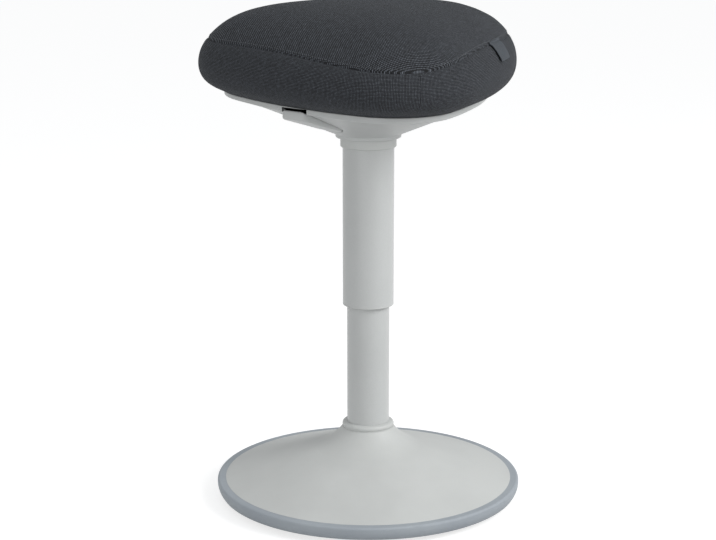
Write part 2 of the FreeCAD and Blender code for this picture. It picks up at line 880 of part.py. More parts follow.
def tee_nuts():
    flange_top = board_top + tee_flange_thickness
    nuts = []
    for x, y in plate_bolt_places():
        barrel = rod(tee_barrel_radius, board_top - tee_barrel_length, board_top, x, y)
        flange = rod(tee_flange_radius, board_top, flange_top, x, y)
        nut = barrel.fuse(flange).removeSplitter()
        nuts.append(nut.cut(rod(plate_bolt_radius + fit_gap, board_bottom, flange_top, x, y)))
    return to_lever(group(nuts))


def seat_board():
    board = outline_prism(board_inset, board_bottom, board_top)
    holes = []
    for x, y in plate_bolt_places():
        holes.append(rod(tee_barrel_radius + fit_gap, board_bottom, board_top, x, y))
    board = board.cut(to_lever(group(holes)))
    for x, y in pan_screw_places():
        board = board.cut(rod(tapping_radius + pilot_gap, board_bottom, board_top, x, y))
    return board


def seat_foam():
    foam = cushion(cover_thickness + soft_gap)
    foam = foam.cut(outline_prism(-cut_over, rim_top - cut_over, board_bottom + soft_gap))
    foam = foam.cut(outline_prism(board_inset - soft_gap, board_bottom, board_top + soft_gap))
    radius = tee_flange_radius + soft_gap
    roof = board_top + tee_flange_thickness + soft_gap
    pockets = [rod(radius, board_top, roof, x, y) for x, y in plate_bolt_places()]
    return foam.cut(to_lever(group(pockets)))


def seat_cover():
    cover = cushion(0.0).cut(cushion(cover_thickness))
    bag_floor = outline_prism(cushion_levels[0][1] + cover_thickness / 2, rim_top, board_bottom)
    mouth = outline_prism(rim_inset + lip_width, rim_top - cut_over, board_bottom + cut_over)
    return joined([cover, bag_floor]).cut(mouth)


def label_tab():
    """Thin tab lying against the cushion's side."""
    tab = Part.makeBox(label_width, label_reach, label_height)
    tab.translate(FreeCAD.Vector(-label_width / 2, -label_reach / 2, -label_height / 2))
    tab.rotate(FreeCAD.Vector(0, 0, 0), FreeCAD.Vector(1, 0, 0), -label_lean)
    tab.rotate(FreeCAD.Vector(0, 0, 0), FreeCAD.Vector(0, 0, 1), label_angle)
    x, y = from_nose(label_angle, flat_distance - label_inset)
    tab.translate(FreeCAD.Vector(x, y, rim_top + label_rise))
    return tab.common(cushion(-label_thickness)).cut(cushion(0.0))


def lever_arm():
    foot = paddle_thickness
    heel = arm_foot_start + arm_heel
    outline = [
        (0, arm_nose_level - arm_nose_radius),
        (cylinder_radius + arm_belly, arm_nose_level - arm_nose_radius),
        (lever_pivot, pivot_level - lever_hub_radius),
        (arm_foot_start, paddle_under(arm_foot_start) + foot),
        (arm_foot_end, paddle_under(arm_foot_end) + foot),
        (arm_foot_end, paddle_under(arm_foot_end) + foot + arm_foot_thickness),
        (heel, paddle_under(heel) + foot + arm_foot_thickness),
        (lever_pivot, pivot_level + lever_hub_radius),
        (0, arm_nose_level + arm_nose_radius),
    ]
    half = arm_width / 2
    arm = joined([
        slab(outline, half),
        cross_rod(arm_nose_radius, 0, arm_nose_level, half),
        cross_rod(lever_hub_radius, lever_pivot, pivot_level, half),
    ])
    arm = arm.cut(cross_rod(lever_pin_radius + running_gap, lever_pivot, pivot_level, half))
    for x in lever_screw_places:
        arm = arm.cut(rod(lever_screw_radius + passing_gap, pan_bottom, rim_top, x))
    return to_lever(arm)


def lever_paddle():
    root = paddle_root - cut_over
    tip = paddle_tip + cut_over
    land = paddle_under(paddle_tip) + paddle_thickness
    outline = [
        (root, paddle_under(root)),
        (tip, paddle_under(tip)),
        (tip, land),
        (paddle_tip - paddle_land, land),
        (arm_foot_end, paddle_under(arm_foot_end) + paddle_thickness),
        (root, paddle_under(root) + paddle_thickness),
    ]
    plan = lever_outline(0.0, pan_bottom, rim_top)
    paddle = slab(outline, paddle_half_width + cut_over).common(plan)
    for x in lever_screw_places:
        floor = paddle_under(x) + lever_screw_skin
        paddle = paddle.cut(rod(lever_screw_radius + pilot_gap, floor, rim_top, x))
    return to_lever(paddle)


def lever_screws():
    lift = paddle_thickness + arm_foot_thickness + lever_head_radius * paddle_slope
    screws = []
    for x in lever_screw_places:
        seat = paddle_under(x) + lift
        tip = paddle_under(x) + lever_screw_skin + tip_gap
        screws.append(screw(lever_screw_radius, lever_head_radius, lever_head_height, seat, tip, (x, 0)))
    return to_lever(group(screws))


def lever_pin():
    return to_lever(cross_rod(lever_pin_radius, lever_pivot, pivot_level, channel_width / 2 + lever_pin_end))


def pin_spacers():
    inner = arm_width / 2 + spacer_gap
    length = channel_width / 2 - channel_wall - inner
    spacers = []
    for side in (-1, 1):
        start = FreeCAD.Vector(lever_pivot, side * inner, pivot_level)
        along = FreeCAD.Vector(0, side, 0)
        spacer = Part.makeCylinder(spacer_radius, length, start, along)
        bore = Part.makeCylinder(lever_pin_radius + running_gap, length, start, along)
        spacers.append(spacer.cut(bore))
    return to_lever(group(spacers))


# Distance from the axis to the middle of a flat side, and what hangs on it
half_chord = math.radians(lobe_angle / 2)
flat_mean = (corner_distance + nose_distance) / 2
flat_reach = side_bulge_radius - corner_radius
flat_sag = math.sqrt(flat_reach ** 2 - (flat_mean * math.sin(half_chord)) ** 2)
flat_distance = flat_mean * math.cos(half_chord) + side_bulge_radius - flat_sag
paddle_tip = flat_distance - rim_inset + paddle_tip_proud
paddle_root_level = pan_neck + (paddle_root - pan_neck_radius) * pan_slope
paddle_slope = (rim_top - paddle_tip_drop - paddle_root_level) / (paddle_tip - paddle_root)
pan_screw_seat = pan_neck + (pan_screw_circle - pan_neck_radius) * pan_slope + pan_screw_rise

nodes = {
    "base_dome": base_dome(),
    "edge_ring": edge_ring(),
    "rocker_shell": rocker_shell(),
    "standing_pad": standing_pad(),
    "base_screws": base_screws(),
    "ballast_plate": ballast_plate(),
    "ballast_screws": ballast_screws(),
    "hub_socket": hub_socket(),
    "hub_screws": hub_screws(),
    "neck_collar": neck_collar(),
    "lower_tube": tube(tube_inside, tube_radius, ballast_top, tube_top),
    "guide_bush": guide_bush(),
    "tube_floor": tube(rod_radius + rod_hole_gap, tube_inside - fit_gap, tube_floor, race_level),
    "lower_race": tube(rod_radius + rod_hole_gap, race_radius, race_level, race_level + race_thickness),
    "bearing_balls": bearing_balls(),
    "bearing_cage": bearing_cage(),
    "upper_race": tube(rod_radius + running_gap, race_radius, upper_race_level, bump_level),
    "bump_stop": tube(rod_radius + running_gap, bump_radius, bump_level, bump_top),
    "rod_washer": tube(rod_radius + running_gap, washer_radius, washer_top - washer_thickness, washer_top),
    "rod_clip": rod_clip(),
    "piston_rod": piston_rod(),
    "piston": tube(
        neck_radius + running_gap,
        cylinder_inside - running_gap,
        piston_level,
        piston_level + piston_length,
    ),
    "gas_cylinder": gas_cylinder(),
    "cylinder_end_cap": end_cap(),
    "cover_tube": tube(cover_radius - cover_wall, cover_radius, cover_lip + lip_height, pan_bottom),
    "lip_ring": lip_ring(),
    "pan_collar": pan_collar(),
    "seat_pan": seat_pan(),
    "pan_screws": pan_screws(),
    "mount_plate": mount_plate(),
    "column_channel": channel(),
    "taper_socket": taper_socket(),
    "plate_bolts": plate_bolts(),
    "tee_nuts": tee_nuts(),
    "seat_board": seat_board(),
    "seat_foam": seat_foam(),
    "seat_cover": seat_cover(),
    "label_tab": label_tab(),
    "lever_pin": lever_pin(),
    "pin_spacers": pin_spacers(),
    "lever_arm": lever_arm(),
    "lever_paddle": lever_paddle(),
    "lever_screws": lever_screws(),
    "release_pin": rod(release_pin_radius, pin_top - release_pin_length, pin_top),
}

os.makedirs("parts", exist_ok=True)
for name, shape in nodes.items():
    if not shape.isValid():
        print("check", name)
    shape.exportStep("parts/" + name + ".step")
print(len(nodes), "nodes, seat rim at", round(rim_top, 1), "column axis to flat", round(flat_distance, 1))
print("pivot", round(lever_pivot, 2), round(pivot_level, 2), "paddle tip", round(paddle_tip, 2))
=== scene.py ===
import json
import math
import bmesh
import bpy
import numpy as np
from mathutils import Matrix, Vector
from mathutils.bvhtree import BVHTree


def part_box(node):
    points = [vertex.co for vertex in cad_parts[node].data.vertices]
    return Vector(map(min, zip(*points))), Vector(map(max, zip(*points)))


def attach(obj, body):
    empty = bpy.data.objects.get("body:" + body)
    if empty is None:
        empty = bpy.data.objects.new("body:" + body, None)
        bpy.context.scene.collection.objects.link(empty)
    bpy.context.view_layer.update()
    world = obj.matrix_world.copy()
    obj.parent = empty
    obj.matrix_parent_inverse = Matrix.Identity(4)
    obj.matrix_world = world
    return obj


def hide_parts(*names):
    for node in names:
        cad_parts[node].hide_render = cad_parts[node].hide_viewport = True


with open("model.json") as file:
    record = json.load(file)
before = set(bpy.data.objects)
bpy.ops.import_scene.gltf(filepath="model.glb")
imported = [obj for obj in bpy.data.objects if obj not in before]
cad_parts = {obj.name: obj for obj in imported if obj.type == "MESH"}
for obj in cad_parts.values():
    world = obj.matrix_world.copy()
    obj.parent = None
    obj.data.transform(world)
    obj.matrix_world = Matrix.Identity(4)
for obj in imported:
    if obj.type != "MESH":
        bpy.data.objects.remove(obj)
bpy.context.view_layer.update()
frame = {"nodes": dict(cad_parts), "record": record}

# Wobble stool in metres, on the frame's own origin: floor level, column axis, nose of the seat at -Y.
nodes = frame["nodes"]
up = Vector((0, 0, 1))
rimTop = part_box("seat_pan")[1].z
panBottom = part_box("seat_pan")[0].z
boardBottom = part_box("seat_board")[0].z
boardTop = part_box("seat_board")[1].z
crease = math.radians(35)          # faces that meet more sharply than this keep a hard edge
print("frame loaded,", len(nodes), "nodes")


# Seat plan: three round corners joined by slightly bulged sides
seatPlan = {
    "cornerRadius": 0.1079,
    "noseDistance": 0.0873,
    "cornerDistance": 0.0922,
    "lobeAngle": 115.0,
    "sideRadius": 0.4374,
    "rimInset": 0.0324,
    "rimLean": 2.2,             # degrees that the rim and the cushion's foot lean to the nose
    "rimLift": 0.0023,
}


def fromNose(angle, distance, height=0.0):
    turn = math.radians(angle)
    return Vector((distance * math.sin(turn), -distance * math.cos(turn), height))


def reachOn(circleCentre, radius, direction):  # far crossing of a ray from the axis with a circle
    along = direction.dot(circleCentre)
    root = along ** 2 - circleCentre.length_squared + radius ** 2
    return along + math.sqrt(root) if root >= 0 else 0.0


def planSides():
    # first and second corner centre of each side, and the pivot of its arc
    lobe = seatPlan["lobeAngle"]
    centres = [
        fromNose(0, seatPlan["noseDistance"]),
        fromNose(lobe, seatPlan["cornerDistance"]),
        fromNose(-lobe, seatPlan["cornerDistance"]),
    ]
    step = seatPlan["sideRadius"] - seatPlan["cornerRadius"]
    sides = []
    for first, second in zip(centres, centres[1:] + centres[:1]):
        chord = second - first
        outwards = chord.cross(up).normalized()
        pivot = (first + second) / 2 - outwards * math.sqrt(step ** 2 - (chord.length / 2) ** 2)
        sides.append((first, second, pivot))
    return sides


seatSides = planSides()


def planReach(angle, inset):
    # distance from the axis to the plan's outline, drawn in by inset
    direction = fromNose(angle, 1.0)
    for first, second, pivot in seatSides:
        reach = reachOn(pivot, seatPlan["sideRadius"] - inset, direction)
        spoke = direction * reach - pivot
        if (first - pivot).cross(spoke).z >= 0 and spoke.cross(second - pivot).z >= 0:
            return reach
    corner = seatPlan["cornerRadius"] - inset
    return max(reachOn(side[0], corner, direction) for side in seatSides)


def rimLevel(y):
    # height of the pan's rim, which leans down to the nose
    return rimTop + seatPlan["rimLift"] + y * math.tan(math.radians(seatPlan["rimLean"]))


# Small modelling helpers
def newPiece(name, mesh, body, smooth=True):
    data = bpy.data.meshes.new(name)
    mesh.to_mesh(data)
    mesh.free()
    piece = bpy.data.objects.new(name, data)
    bpy.context.scene.collection.objects.link(piece)
    for face in data.polygons:
        face.use_smooth = smooth
    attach(piece, body)
    return piece


def outwardFaces(mesh):
    bmesh.ops.remove_doubles(mesh, verts=mesh.verts, dist=1e-6)
    bmesh.ops.recalc_face_normals(mesh, faces=mesh.faces)


def bevelEdges(mesh, edges, width, segments):
    bmesh.ops.bevel(
        mesh, geom=edges, offset=width, segments=segments, profile=0.5, affect="EDGES",
        material=-1, clamp_overlap=True,
    )


def sharpEdges(mesh, degrees):
    limit = math.radians(degrees)
    return [e for e in mesh.edges if len(e.link_faces) == 2 and e.calc_face_angle() > limit]


def wrapGrid(columns, rows, place):
    # a grid rolled round the axis: place(angle, row) gives each point
    mesh = bmesh.new()
    bmesh.ops.create_grid(mesh, x_segments=columns, y_segments=rows, size=1.0)
    spots = {}
    for vertex in mesh.verts:
        column = round((vertex.co.x + 1) / 2 * columns)
        row = round((vertex.co.y + 1) / 2 * rows)
        spots[vertex.index] = (column, row)
    for vertex in mesh.verts:
        column, row = spots[vertex.index]
        vertex.co = place(column % columns, row)
    return mesh, spots


def byModifier(piece, kind, **settings):
    # adds a modifier, applies it and leaves the plain mesh
    modifier = piece.modifiers.new(kind.title(), kind)
    for key, value in settings.items():
        setattr(modifier, key, value)
    graph = bpy.context.evaluated_depsgraph_get()
    data = bpy.data.meshes.new_from_object(piece.evaluated_get(graph))
    piece.modifiers.clear()
    old = piece.data
    piece.data = data
    bpy.data.meshes.remove(old)
    return piece


# Materials
def paint(red, green, blue):  # 0 to 255 as seen on a screen
    def light(value):
        share = value / 255
        return share / 12.92 if share <= 0.04045 else ((share + 0.055) / 1.055) ** 2.4
    return (light(red), light(green), light(blue), 1.0)


def addNode(tree, kind, inputs=None, **settings):
    made = tree.nodes.new(kind)
    for key, value in settings.items():
        setattr(made, key, value)
    for key, value in (inputs or {}).items():
        if isinstance(value, bpy.types.NodeSocket):
            tree.links.new(value, made.inputs[key])
        else:
            made.inputs[key].default_value = value
    return made


def startMaterial(name, look):
    material = bpy.data.materials.new(name)
    material.use_nodes = True
    tree = material.node_tree
    shader = tree.nodes["Principled BSDF"]
    shader.inputs["Metallic"].default_value = look.get("metallic", 0.0)
    shader.inputs["IOR"].default_value = look.get("ior", 1.48)
    shader.inputs["Coat Weight"].default_value = look.get("coat", 0.0)
    shader.inputs["Coat Roughness"].default_value = look.get("coatRoughness", 0.2)
    shader.inputs["Sheen Weight"].default_value = look.get("sheen", 0.0)
    shader.inputs["Sheen Roughness"].default_value = look.get("sheenRoughness", 0.5)
    if "sheenTint" in look:
        shader.inputs["Sheen Tint"].default_value = look["sheenTint"]
    return material, tree, shader


def noiseOn(tree, point, scale, detail=3.0, roughness=0.55):
    values = {"Vector": point, "Scale": scale, "Detail": detail, "Roughness": roughness}
    return addNode(tree, "ShaderNodeTexNoise", values).outputs["Fac"]


def fade(tree, factor, first, second, low=0.35, high=0.65):
    ramp = addNode(tree, "ShaderNodeValToRGB", {"Fac": factor})
    ramp.color_ramp.elements[0].position = low
    ramp.color_ramp.elements[0].color = first
    ramp.color_ramp.elements[1].position = high
    ramp.color_ramp.elements[1].color = second
    return ramp.outputs["Color"]


def span(tree, factor, low, high):
    values = {"Value": factor, "To Min": low, "To Max": high}
    return addNode(tree, "ShaderNodeMapRange", values).outputs["Result"]


def calc(tree, operation, first, second=0.0):
    return addNode(tree, "ShaderNodeMath", {0: first, 1: second}, operation=operation).outputs[0]


def multiply(tree, first, second, factor=1.0):
    mix = addNode(tree, "ShaderNodeMix", data_type="RGBA", blend_type="MULTIPLY")
    mix.inputs["Factor"].default_value = factor
    tree.links.new(first, mix.inputs[6])
    tree.links.new(second, mix.inputs[7])
    return mix.outputs[2]


def raised(tree, shader, height, depth):
    bump = addNode(tree, "ShaderNodeBump", {"Height": height, "Distance": depth, "Strength": 1.0})
    tree.links.new(bump.outputs["Normal"], shader.inputs["Normal"])


def grained(name, look):
    # moulded, coated, cast or rubber surface: soft patches of tone, fine grain, uneven gloss
    material, tree, shader = startMaterial(name, look)
    point = addNode(tree, "ShaderNodeTexCoord").outputs["Object"]
    stretch = addNode(tree, "ShaderNodeMapping", {"Vector": point, "Scale": look.get("stretch", (1, 1, 1))})
    place = stretch.outputs["Vector"]
    patches = noiseOn(tree, point, 1 / look["patch"])
    fine = noiseOn(tree, place, 1 / look["grain"], detail=2.0)
    tone = fade(tree, patches, look["dark"], look["light"])
    speck = fade(tree, fine, (look["speck"],) * 3 + (1.0,), (1, 1, 1, 1))
    tree.links.new(multiply(tree, tone, speck), shader.inputs["Base Color"])
    gloss = calc(tree, "ADD", calc(tree, "MULTIPLY", patches, 0.5), calc(tree, "MULTIPLY", fine, 0.5))
    low, high = look["roughness"]
    tree.links.new(span(tree, gloss, low, high), shader.inputs["Roughness"])
    raised(tree, shader, fine, look["depth"])
    return material


finishes = {
    "shell_grey": {
        "dark": paint(201, 203, 201), "light": paint(207, 209, 207), "patch": 0.09, "speck": 0.97,
        "grain": 0.0007, "depth": 0.00006, "roughness": (0.42, 0.58),
    },
    "pan_grey": {
        "dark": paint(197, 199, 198), "light": paint(203, 205, 204), "patch": 0.07, "speck": 0.97,
        "grain": 0.0007, "depth": 0.00006, "roughness": (0.38, 0.54),
    },
    "coated_tube": {
        "dark": paint(196, 198, 197), "light": paint(201, 203, 202), "patch": 0.12, "speck": 0.96,
        "grain": 0.0011, "depth": 0.00008, "roughness": (0.3, 0.46), "coat": 0.15, "coatRoughness": 0.3,
    },
    "edge_rubber": {
        "dark": paint(160, 167, 174), "light": paint(168, 175, 181), "patch": 0.05, "speck": 0.95,
        "grain": 0.0006, "depth": 0.00008, "roughness": (0.5, 0.68),
    },
    "pad_rubber": {
        "dark": paint(52, 54, 56), "light": paint(64, 66, 68), "patch": 0.03, "speck": 0.85,
        "grain": 0.0008, "depth": 0.00012, "roughness": (0.6, 0.82),
    },
    "zinc_steel": {
        "dark": paint(168, 172, 176), "light": paint(196, 199, 202), "patch": 0.004, "speck": 0.9,
        "grain": 0.0004, "depth": 0.00002, "roughness": (0.22, 0.42), "metallic": 1.0,
    },
    "plain_steel": {
        "dark": paint(128, 130, 134), "light": paint(158, 160, 163), "patch": 0.02, "speck": 0.88,
        "grain": 0.0005, "depth": 0.00003, "roughness": (0.28, 0.5), "metallic": 1.0,
        "stretch": (1, 1, 0.08),
    },
    "black_steel": {
        "dark": paint(34, 35, 37), "light": paint(46, 47, 49), "patch": 0.03, "speck": 0.85,
        "grain": 0.0009, "depth": 0.00008, "roughness": (0.4, 0.6), "coat": 0.2, "coatRoughness": 0.35,
    },
    "chromed_rod": {
        "dark": paint(214, 216, 219), "light": paint(226, 228, 230), "patch": 0.05, "speck": 0.97,
        "grain": 0.0003, "depth": 0.000005, "roughness": (0.06, 0.14), "metallic": 1.0,
        "stretch": (1, 1, 0.05),
    },
    "cast_ballast": {
        "dark": paint(58, 58, 60), "light": paint(78, 77, 76), "patch": 0.02, "speck": 0.75,
        "grain": 0.0016, "depth": 0.0003, "roughness": (0.62, 0.85), "metallic": 0.6,
    },
    "brass_cage": {
        "dark": paint(181, 148, 84), "light": paint(204, 172, 104), "patch": 0.01, "speck": 0.88,
        "grain": 0.0004, "depth": 0.00002, "roughness": (0.25, 0.42), "metallic": 1.0,
    },
    "white_acetal": {
        "dark": paint(226, 225, 219), "light": paint(236, 235, 230), "patch": 0.03, "speck": 0.97,
        "grain": 0.0005, "depth": 0.00002, "roughness": (0.3, 0.42),
    },
}


def plywoodFinish():
    look = {
        "face": paint(205, 173, 128), "streak": paint(178, 140, 94), "ply": 0.0024, "figure": 55.0,
        "roughness": (0.5, 0.7), "depth": 0.00008,
    }
    material, tree, shader = startMaterial("plywood", look)
    point = addNode(tree, "ShaderNodeTexCoord").outputs["Object"]
    along = addNode(tree, "ShaderNodeMapping", {"Vector": point, "Scale": (1, 0.12, 1)}).outputs["Vector"]
    figure = noiseOn(tree, along, look["figure"], detail=6.0)
    layers = addNode(
        tree, "ShaderNodeTexWave",
        {"Vector": point, "Scale": 1 / look["ply"] / math.pi, "Distortion": 0.3},
        bands_direction="Z",
    ).outputs["Fac"]
    tone = fade(tree, figure, look["face"], look["streak"], 0.4, 0.62)
    edge = fade(tree, layers, (0.78, 0.74, 0.7, 1), (1, 1, 1, 1), 0.2, 0.6)
    tree.links.new(multiply(tree, tone, edge, 0.6), shader.inputs["Base Color"])
    tree.links.new(span(tree, figure, *look["roughness"]), shader.inputs["Roughness"])
    raised(tree, shader, figure, look["depth"])
    return material


def foamFinish():
    look = {
        "skin": paint(226, 214, 170), "cell": paint(196, 181, 132), "size": 0.0015, "depth": 0.0004,
        "roughness": 0.95,
    }
    material, tree, shader = startMaterial("foam", look)
    point = addNode(tree, "ShaderNodeTexCoord").outputs["Object"]
    cells = addNode(tree, "ShaderNodeTexVoronoi", {"Vector": point, "Scale": 1 / look["size"]})
    distance = cells.outputs["Distance"]
    tree.links.new(fade(tree, distance, look["cell"], look["skin"], 0.1, 0.5), shader.inputs["Base Color"])
    shader.inputs["Roughness"].default_value = look["roughness"]
    raised(tree, shader, distance, look["depth"])
    return material


def wovenFinish(name, look):
    # two sets of threads cross on the piece's own UV map, which is laid out in metres
    material, tree, shader = startMaterial(name, look)
    flat = addNode(tree, "ShaderNodeUVMap", uv_map="cloth").outputs["UV"]
    turn = math.radians(look["turn"])
    turned = addNode(tree, "ShaderNodeMapping", {"Vector": flat, "Rotation": (0, 0, turn)}).outputs["Vector"]
    drift = addNode(tree, "ShaderNodeTexNoise", {"Vector": turned, "Scale": 1 / look["drift"]})
    moved = addNode(
        tree, "ShaderNodeVectorMath", {0: drift.outputs["Color"], "Scale": look["sway"]}, operation="SCALE",
    )
    place = addNode(
        tree, "ShaderNodeVectorMath",
        {0: turned, 1: moved.outputs["Vector"]}, operation="ADD",
    ).outputs["Vector"]
    parts = addNode(tree, "ShaderNodeSeparateXYZ", {"Vector": place})
    warp = calc(tree, "MULTIPLY", parts.outputs["X"], 2 * math.pi / look["pitch"])
    weft = calc(tree, "MULTIPLY", parts.outputs["Y"], 2 * math.pi / look["pitch"])
    waves = calc(tree, "MULTIPLY", calc(tree, "SINE", warp), calc(tree, "SINE", weft))
    over = span(tree, waves, -0.5, 1.5)
    fuzz = noiseOn(tree, place, 1 / look["fibre"], detail=4.0)
    melange = noiseOn(tree, place, 1 / look["fleck"], detail=2.0)
    height = calc(tree, "ADD", calc(tree, "MULTIPLY", over, 0.75), calc(tree, "MULTIPLY", fuzz, 0.35))
    thread = fade(tree, height, look["gap"], look["thread"], 0.15, 0.95)
    flecks = fade(tree, melange, look["fleckDark"], look["fleckLight"], 0.32, 0.7)
    tree.links.new(multiply(tree, thread, flecks), shader.inputs["Base Color"])
    low, high = look["roughness"]
    tree.links.new(span(tree, fuzz, low, high), shader.inputs["Roughness"])
    raised(tree, shader, height, look["depth"])
    return material


weaves = {
    "woven_cover": {
        "pitch": 0.0023, "turn": 45.0, "drift": 0.012, "sway": 0.0014, "fibre": 0.0004, "fleck": 0.0032,
        "gap": paint(20, 22, 26), "thread": paint(112, 117, 125), "fleckDark": (0.62, 0.62, 0.62, 1),
        "fleckLight": (1.3, 1.3, 1.3, 1), "depth": 0.00032, "roughness": (0.85, 1.0), "sheen": 0.04,
        "sheenTint": paint(150, 160, 170), "sheenRoughness": 0.45,
    },
    "woven_label": {
        "pitch": 0.0009, "turn": 0.0, "drift": 0.02, "sway": 0.0003, "fibre": 0.0003, "fleck": 0.002,
        "gap": paint(50, 55, 61), "thread": paint(92, 100, 108), "fleckDark": (0.92, 0.92, 0.92, 1),
        "fleckLight": (1.05, 1.05, 1.05, 1), "depth": 0.00012, "roughness": (0.6, 0.8), "sheen": 0.1,
        "sheenTint": paint(160, 170, 180), "sheenRoughness": 0.4,
    },
}


materials = {slot: grained(slot, look) for slot, look in finishes.items()}
for slot, look in weaves.items():
    materials[slot] = wovenFinish(slot, look)
materials["plywood"] = plywoodFinish()
materials["foam"] = foamFinish()
materials["stitchThread"] = grained("stitchThread", {
    "dark": paint(58, 62, 67), "light": paint(84, 90, 95), "patch": 0.004, "speck": 0.8,
    "grain": 0.0003, "depth": 0.00005, "roughness": (0.6, 0.8), "sheen": 0.2,
})


def dress(piece, slot):
    piece.data.materials.clear()
    piece.data.materials.append(materials[slot])


for part in frame["record"]["subparts"]:
    dress(nodes[part["node"]], part["material_slot"])
print("materials made:", len(materials))


# Seat cushion: levels from the pan up to the crown, each with its rise above the rim, inset, share, tilt
# in degrees and shift sideways
cushionShape = {
    "levels": (
        (0.0, 0.0309, 1.0, 2.2, 0.0),
        (0.0047, 0.0203, 1.0, 2.2, 0.0),
        (0.0118, 0.0083, 1.0, 2.3, 0.0),
        (0.0217, 0.0016, 1.0, 2.5, 0.0),
        (0.0345, 0.0, 1.0, 2.9, 0.0),
        (0.0472, 0.0025, 1.0, 3.3, 0.0005),
        (0.0589, 0.0090, 1.0, 3.8, 0.0015),
        (0.0715, 0.0200, 1.0, 4.0, 0.0035),
        (0.0822, 0.0260, 0.95, 4.0, 0.0045),
        (0.0898, 0.0280, 0.86, 3.6, 0.005),
        (0.0956, 0.0284, 0.75, 3.0, 0.005),
        (0.1005, 0.0275, 0.58, 2.2, 0.0045),
        (0.1051, 0.0235, 0.33, 1.2, 0.004),
        (0.1071, 0.0196, 0.0, 0.0, 0.003),
    ),
    "columns": 192,
    "samples": 120,             # points along one profile from the pan to the crown
    "waist": 40,                # the point whose ring gives the side panel's length
    "rowsBelowSeam": 22,
    "rowsAboveSeam": 44,
    "drawnIn": 0.0025,          # the cloth starts this much smaller, and swells
    "formColumns": 96,
    "rowsPerLevel": 3,
    "cap": 0.003,
    "voxel": 0.0055,
    "pressure": 4.0,
    "frames": 20,
    "held": 0.004,              # cloth this near the seam or the pan doesn't swell
    "heldInset": 0.03,          # the seam's own place is further out than this
    "smoothing": 0.5,
    "heart": 0.05,              # a point well inside, above the rim
    "grooveSteps": (0.0009, 0.0021, 0.0045),
    "grooveDepths": (0.0018, 0.0010, 0.0003),
    "seamRise": 0.065,
    "seamDrop": 0.017,
    "seamLowest": -4.0,         # degrees from the nose
    "seamSpread": (42.0, 26.0),  # degrees towards -X and +X
    "shiftWay": (0.9588, -0.284, 0.0),
    "liftFades": 0.034,         # from this rise upwards the rim's lift isn't felt
    "clear": 0.0003,
    "turnedUnder": 0.022,       # fabric under the board's edge
    "fabric": 0.001,
    "lipInset": 0.0033,         # inner face of the fold, inside the rim's outer edge
    "boardInset": 0.0364,
    "nutHeight": 0.0016,
    "roofRound": (0.004, 0.0015),
}


def between(table, position):
    # smooth curve through the rows of a table
    last = len(table) - 1
    index = min(int(position), last - 1)
    share = position - index
    rows = [table[min(max(index + step, 0), last)] for step in (-1, 0, 1, 2)]
    values = []
    for a, b, c, d in zip(*rows):
        slope = (c - a) / 2
        nextSlope = (d - b) / 2
        bend = 2 * (b - c) + slope + nextSlope
        values.append(b + share * (slope + share * (3 * (c - b) - 2 * slope - nextSlope + share * bend)))
    return values


def cushionPoint(angle, position, skin=0.0):
    rise, inset, share, tilt, shift = between(cushionShape["levels"], position)
    reach = planReach(angle, max(inset, 0.0) + skin) * max(share, 0.0)
    spot = fromNose(angle, reach)
    lift = seatPlan["rimLift"] * max(0.0, 1 - rise / cushionShape["liftFades"])
    spot.z = rimTop + rise + lift - skin * (1 - max(share, 0.0)) + spot.y * math.tan(math.radians(tilt))
    return spot + Vector(cushionShape["shiftWay"]) * shift


def seamHeight(angle):
    turn = (angle + 180) % 360 - 180 - cushionShape["seamLowest"]
    spread = cushionShape["seamSpread"][0 if turn < 0 else 1]
    drop = cushionShape["seamDrop"] * math.exp(-((turn / spread) ** 2))
    return rimTop + cushionShape["seamRise"] - drop


def profileAt(angle, skin=0.0):
    # points up one side with their distance along it, and the distance at which the seam lies
    top = len(cushionShape["levels"]) - 1
    count = cushionShape["samples"]
    points = [cushionPoint(angle, top * index / count, skin) for index in range(count + 1)]
    track = np.array([tuple(p) for p in points])
    steps = np.linalg.norm(np.diff(track, axis=0), axis=1)
    along = np.concatenate([[0.0], np.cumsum(steps)])
    level = seamHeight(angle)
    crossing = int(np.argmax(track[:, 2] > level))
    seam = np.interp(level, track[crossing - 1:crossing + 1, 2], along[crossing - 1:crossing + 1])
    return track, along, float(seam)


def pointOn(track, along, distance):
    return Vector([float(np.interp(distance, along, track[:, axis])) for axis in range(3)])


